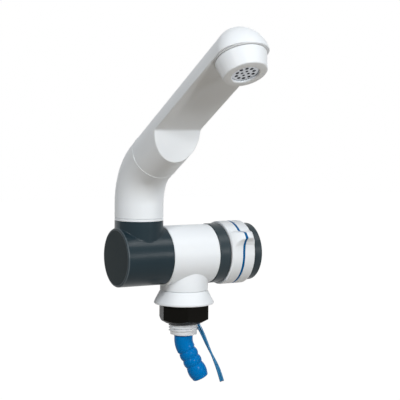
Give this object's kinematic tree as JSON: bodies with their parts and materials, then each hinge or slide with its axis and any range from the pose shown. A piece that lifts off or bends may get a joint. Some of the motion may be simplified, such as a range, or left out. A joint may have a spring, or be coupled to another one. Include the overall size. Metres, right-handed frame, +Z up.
{
  "type": "microswitch tap",
  "caption": "Fold-down cold water tap with a round swivel spout, a cross barrel with a turning knob that works a switch, a threaded shank with lock nut and a leaning hose tail.",
  "frame": {"origin": "centre of the base flange's underside, on the axis of the mounting shank", "axes": "+Z up along the shank, +X along the cross barrel towards the knob, -Y the way the spout points"},
  "size_m": [0.1043, 0.1682, 0.2351],
  "materials": {
    "white_plastic": "smooth moulded, semi-gloss",
    "dark_plastic": "anthracite, moulded, semi-gloss",
    "grey_plastic": "pale grey, moulded thread",
    "black_plastic": "black, moulded",
    "blue_plastic": "blue, moulded, semi-gloss",
    "blue_stripe": "blue inlay",
    "blue_sheath": "soft blue cable sheath",
    "black_rubber": "matt moulded rubber",
    "natural_plastic": "natural acetal, moulded",
    "switch_plastic": "black switch housing",
    "steel": "stainless, machined",
    "brass": "machined brass",
    "chrome_plate": "plated plate with spray holes",
    "ceramic": "lapped white ceramic"
  },
  "bodies": {
    "root": {"body_shell": "white_plastic", "base_flange": "white_plastic", "threaded_shank": "grey_plastic", "deck_gasket": "black_rubber", "lock_nut": "black_plastic", "hose_tail": "blue_plastic", "inlet_o_ring": "black_rubber", "fold_spindle": "natural_plastic", "fold_washer": "steel", "fold_screw": "steel", "fold_o_rings": "black_rubber", "cartridge_body": "natural_plastic", "cartridge_seal": "black_rubber", "fixed_disc": "ceramic", "gland_nut": "brass", "bonnet_ring": "dark_plastic", "switch_case": "switch_plastic", "switch_terminals": "brass", "switch_screws": "steel", "switch_blade": "brass", "switch_leads": "blue_sheath", "switch_cable": "blue_sheath"},
    "knob": {"valve_spindle": "brass", "spindle_o_rings": "black_rubber", "moving_disc": "ceramic", "switch_cam": "natural_plastic", "knob_grip": "white_plastic", "blue_stripe": "blue_stripe", "knob_core": "dark_plastic", "knob_cap_disc": "dark_plastic", "knob_screw": "steel"},
    "fold": {"fold_barrel": "dark_plastic", "barrel_end_cap": "dark_plastic", "swivel_screw": "steel", "swivel_ring": "white_plastic"},
    "spout": {"spout_elbow": "white_plastic", "stem_o_rings": "black_rubber", "elbow_o_ring": "black_rubber", "spout_arm": "white_plastic", "outlet_collar": "white_plastic", "aerator_cup": "chrome_plate", "aerator_mesh": "steel", "aerator_washer": "black_rubber"},
    "plunger": {"switch_plunger": "switch_plastic"}
  },
  "joints": [
    {"name": "spout_fold", "type": "hinge", "parent": "root", "child": "fold", "pos_m": [-0.03525, 0, 0.034], "axis": [1, 0, 0], "range_deg": [0, 90]},
    {"name": "spout_swivel", "type": "hinge", "parent": "fold", "child": "spout", "pos_m": [-0.03525, 0, 0.0534], "axis": [0, 0, 1], "range_deg": [-110, 110]},
    {"name": "knob_turn", "type": "hinge", "parent": "root", "child": "knob", "pos_m": [0.0353, 0, 0.034], "axis": [-1, 0, 0], "range_deg": [0, 90]},
    {"name": "switch_plunge", "type": "slide", "parent": "root", "child": "plunger", "axis": [0, 0, -1], "range_m": [0, 0.0008]}
  ],
  "couplings": [
    {"joint": "switch_plunge", "follows": "knob_turn", "m_per_rad": 0.000509}
  ]
}
